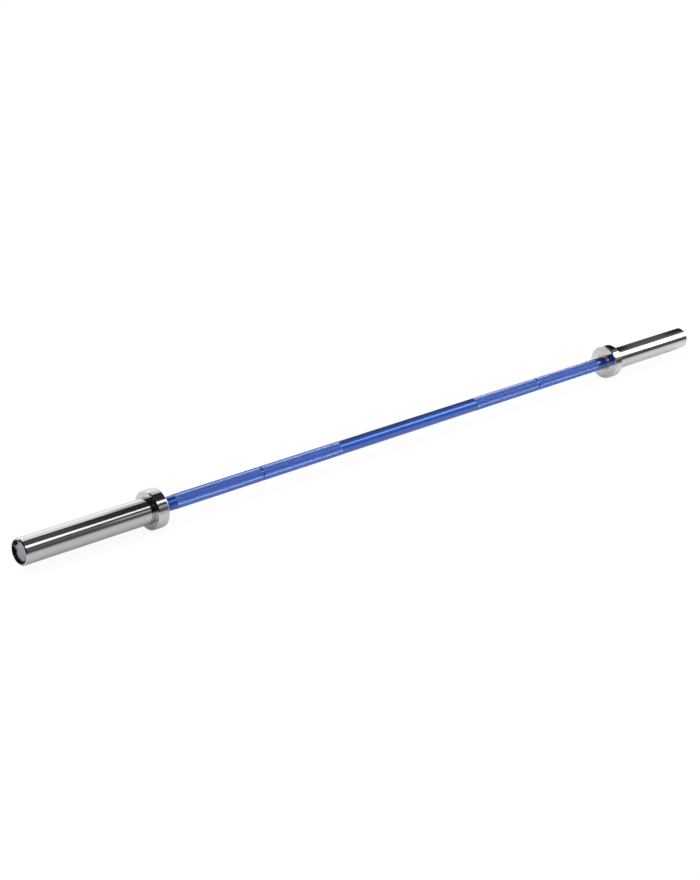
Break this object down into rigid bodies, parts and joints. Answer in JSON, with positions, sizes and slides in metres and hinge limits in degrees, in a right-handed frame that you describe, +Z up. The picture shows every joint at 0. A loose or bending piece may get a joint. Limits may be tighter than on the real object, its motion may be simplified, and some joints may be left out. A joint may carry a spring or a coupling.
{
  "type": "technique barbell",
  "caption": "Slim light-alloy barbell with a knurled grip shaft, raised plate-stop collars and polished tubular plate sleeves that spin freely on bronze bushings.",
  "frame": {"origin": "on the bar's axis, at the middle of the shaft", "axes": "+X along the bar towards the right-hand sleeve, +Z up, Y level across the bar"},
  "size_m": [1.9, 0.075, 0.075],
  "materials": {
    "blue_alloy": "blue anodised, glossy where smooth and satin where knurled",
    "sleeve_chrome": "bright polished chrome with faint turning lines",
    "collar_chrome": "bright polished chrome, faced",
    "bushing_bronze": "turned oil-filled bronze",
    "washer_bronze": "turned bronze",
    "washer_steel": "ground steel",
    "snap_ring_steel": "dark phosphated spring steel",
    "black_ring": "black oxide spring steel",
    "cap_satin": "satin, turned face, bare"
  },
  "bodies": {
    "shaft": {"shaft": "blue_alloy", "left_inner_thrust_washer": "washer_steel", "right_inner_thrust_washer": "washer_steel", "left_outer_thrust_washer": "washer_bronze", "right_outer_thrust_washer": "washer_bronze", "left_shim_washer": "washer_steel", "right_shim_washer": "washer_steel", "left_shaft_snap_ring": "snap_ring_steel", "right_shaft_snap_ring": "snap_ring_steel"},
    "left_sleeve": {"left_sleeve": "sleeve_chrome", "left_collar": "collar_chrome", "left_inner_bushing": "bushing_bronze", "left_outer_bushing": "bushing_bronze", "left_end_cap": "cap_satin", "left_cap_retaining_ring": "black_ring"},
    "right_sleeve": {"right_sleeve": "sleeve_chrome", "right_collar": "collar_chrome", "right_inner_bushing": "bushing_bronze", "right_outer_bushing": "bushing_bronze", "right_end_cap": "cap_satin", "right_cap_retaining_ring": "black_ring"}
  },
  "joints": [
    {"name": "left_sleeve_spin", "type": "hinge", "parent": "shaft", "child": "left_sleeve", "pos_m": [-0.8, 0, 0], "axis": [1, 0, 0], "continuous": true},
    {"name": "right_sleeve_spin", "type": "hinge", "parent": "shaft", "child": "right_sleeve", "pos_m": [0.8, 0, 0], "axis": [1, 0, 0], "continuous": true}
  ]
}
